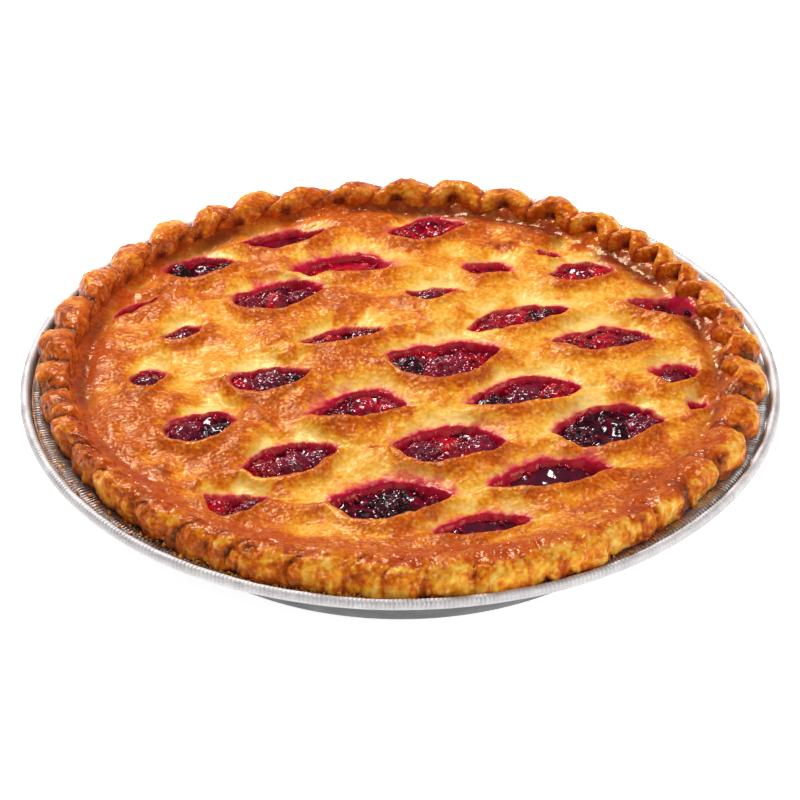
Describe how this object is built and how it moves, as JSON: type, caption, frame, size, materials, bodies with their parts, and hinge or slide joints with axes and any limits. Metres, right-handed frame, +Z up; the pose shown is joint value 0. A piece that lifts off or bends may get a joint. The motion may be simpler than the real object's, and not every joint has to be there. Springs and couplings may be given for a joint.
{
  "type": "berry lattice pie",
  "caption": "Round fruit pie in a pressed foil tin, with a crimped edge and a domed lid slit open in rows over the berry filling.",
  "frame": {"origin": "centre of the tin's flat base, on the surface it stands on", "axes": "+Z up; -Y towards the picture's camera, which looks at the front"},
  "size_m": [0.244, 0.244, 0.0407],
  "materials": {
    "foil": "bright pressed foil with fine ribs on its flange",
    "pastry": "baked golden pastry with egg-wash browning and a dark glaze near the edge",
    "filling": "wet dark red and purple berries in jam"
  },
  "bodies": {
    "root": {"foil_tin": "foil", "pie_crust": "pastry", "berry_filling": "filling"}
  },
  "joints": []
}
